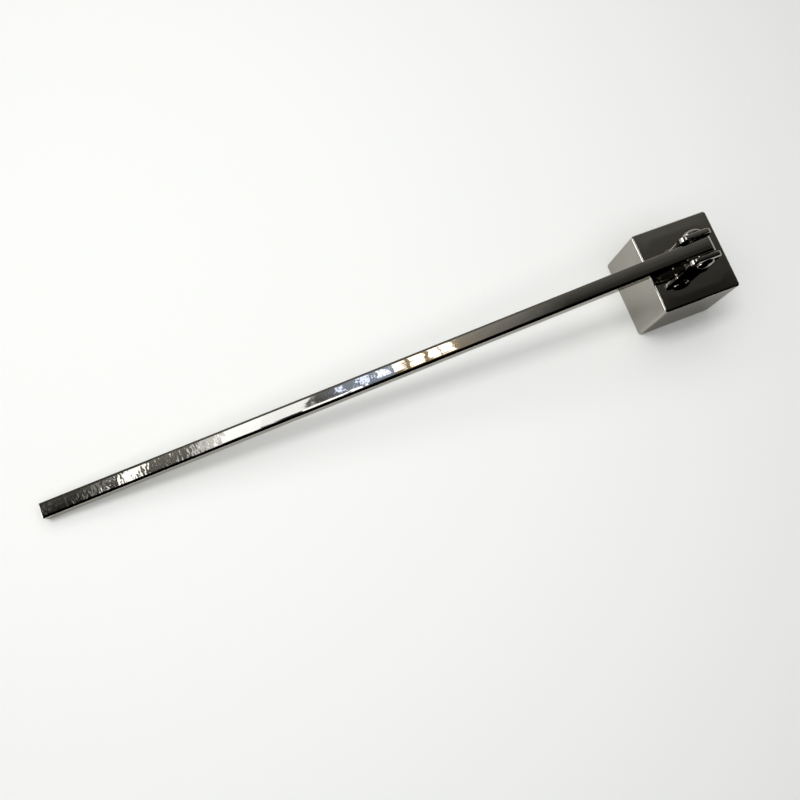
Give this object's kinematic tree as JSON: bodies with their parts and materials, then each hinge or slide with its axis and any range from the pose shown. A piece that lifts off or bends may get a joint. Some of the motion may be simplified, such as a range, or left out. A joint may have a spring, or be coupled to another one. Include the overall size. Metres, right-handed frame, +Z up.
{
  "type": "candle snuffer",
  "caption": "Candle snuffer: a square box bell, open below, with a long square bar handle that swings on a rivet between two flat ears on its lid. Mirror-polished dark plated metal.",
  "frame": {"origin": "on the surface that the snuffer stands on, under the middle of its overall length", "axes": "+X along the handle towards the bell, +Y along the rivet, +Z up, out of the bell's lid"},
  "size_m": [0.227, 0.027, 0.0379],
  "materials": {
    "plated_bell": "mirror-polished dark nickel plating on steel",
    "plated_ear": "mirror-polished dark nickel plating on steel",
    "plated_rivet": "polished dark nickel plating on steel",
    "plain_spacer": "plain dark steel washer",
    "plated_bar": "polished dark nickel plating on steel, slightly wavy"
  },
  "bodies": {
    "bell": {"bell_shell": "plated_bell", "front_ear": "plated_ear", "back_ear": "plated_ear", "pivot_rivet": "plated_rivet", "front_spacer": "plain_spacer", "back_spacer": "plain_spacer"},
    "handle": {"handle_bar": "plated_bar"}
  },
  "joints": [
    {"name": "handle_swing", "type": "hinge", "parent": "bell", "child": "handle", "pos_m": [0.09998, 0, 0.0343], "axis": [0, 1, 0], "range_deg": [-17.5, 214.5]}
  ]
}
